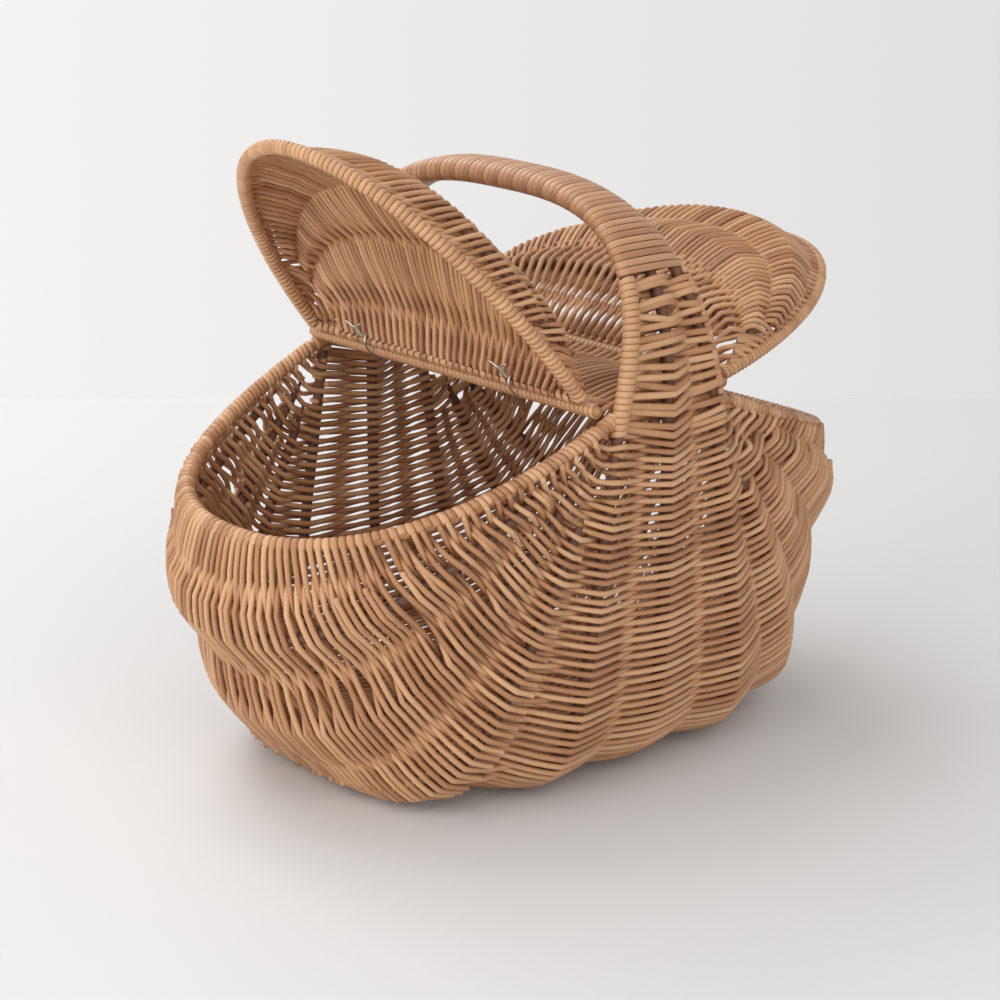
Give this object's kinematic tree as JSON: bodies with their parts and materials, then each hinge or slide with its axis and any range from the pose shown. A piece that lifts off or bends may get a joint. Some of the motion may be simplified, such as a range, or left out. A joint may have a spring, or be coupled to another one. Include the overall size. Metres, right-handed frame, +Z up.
{
  "type": "picnic basket",
  "caption": "Oblong willow rib basket with a bound arch handle and domed lids that hinge on wrapped bars beside a fixed centre panel.",
  "frame": {"origin": "middle of the flat underside, where the basket stands, under the middle of the handle", "axes": "+Z up, +X along the basket towards the right lid, Y across it, in the plane of the handle's arch"},
  "size_m": [0.5355, 0.3282, 0.4479],
  "materials": {
    "weaver_willow": "satin",
    "frame_willow": "satin",
    "strip_willow": "satin",
    "steel": "bright drawn wire"
  },
  "bodies": {
    "basket": {"rim_hoop": "weaver_willow", "body_weave": "weaver_willow", "handle_weave_near": "weaver_willow", "handle_weave_far": "weaver_willow", "hinge_bar_left": "weaver_willow", "hinge_bar_right": "weaver_willow", "panel_weave": "weaver_willow", "hoop_left": "frame_willow", "hoop_middle": "frame_willow", "hoop_right": "frame_willow", "panel_rib": "frame_willow", "rib_foot_left": "frame_willow", "rib_lower_left": "frame_willow", "rib_upper_left": "frame_willow", "rib_foot_right": "frame_willow", "rib_lower_right": "frame_willow", "rib_upper_right": "frame_willow", "handle_binding": "strip_willow"},
    "left_lid": {"left_lid_hoop": "weaver_willow", "left_lid_base_rod": "weaver_willow", "left_lid_weave": "weaver_willow", "left_lid_rib_1": "frame_willow", "left_lid_rib_2": "frame_willow", "left_lid_rib_3": "frame_willow", "left_lid_tie_near": "steel", "left_lid_tie_far": "steel"},
    "right_lid": {"right_lid_hoop": "weaver_willow", "right_lid_base_rod": "weaver_willow", "right_lid_weave": "weaver_willow", "right_lid_rib_1": "frame_willow", "right_lid_rib_2": "frame_willow", "right_lid_rib_3": "frame_willow", "right_lid_tie_near": "steel", "right_lid_tie_far": "steel"}
  },
  "joints": [
    {"name": "left_lid_hinge", "type": "hinge", "parent": "basket", "child": "left_lid", "pos_m": [-0.0579, 0, 0.2743], "axis": [0, 1, 0], "range_deg": [-71.5, 30.6]},
    {"name": "right_lid_hinge", "type": "hinge", "parent": "basket", "child": "right_lid", "pos_m": [0.0579, 0, 0.2743], "axis": [0, -1, 0], "range_deg": [-33, 69.1]}
  ]
}
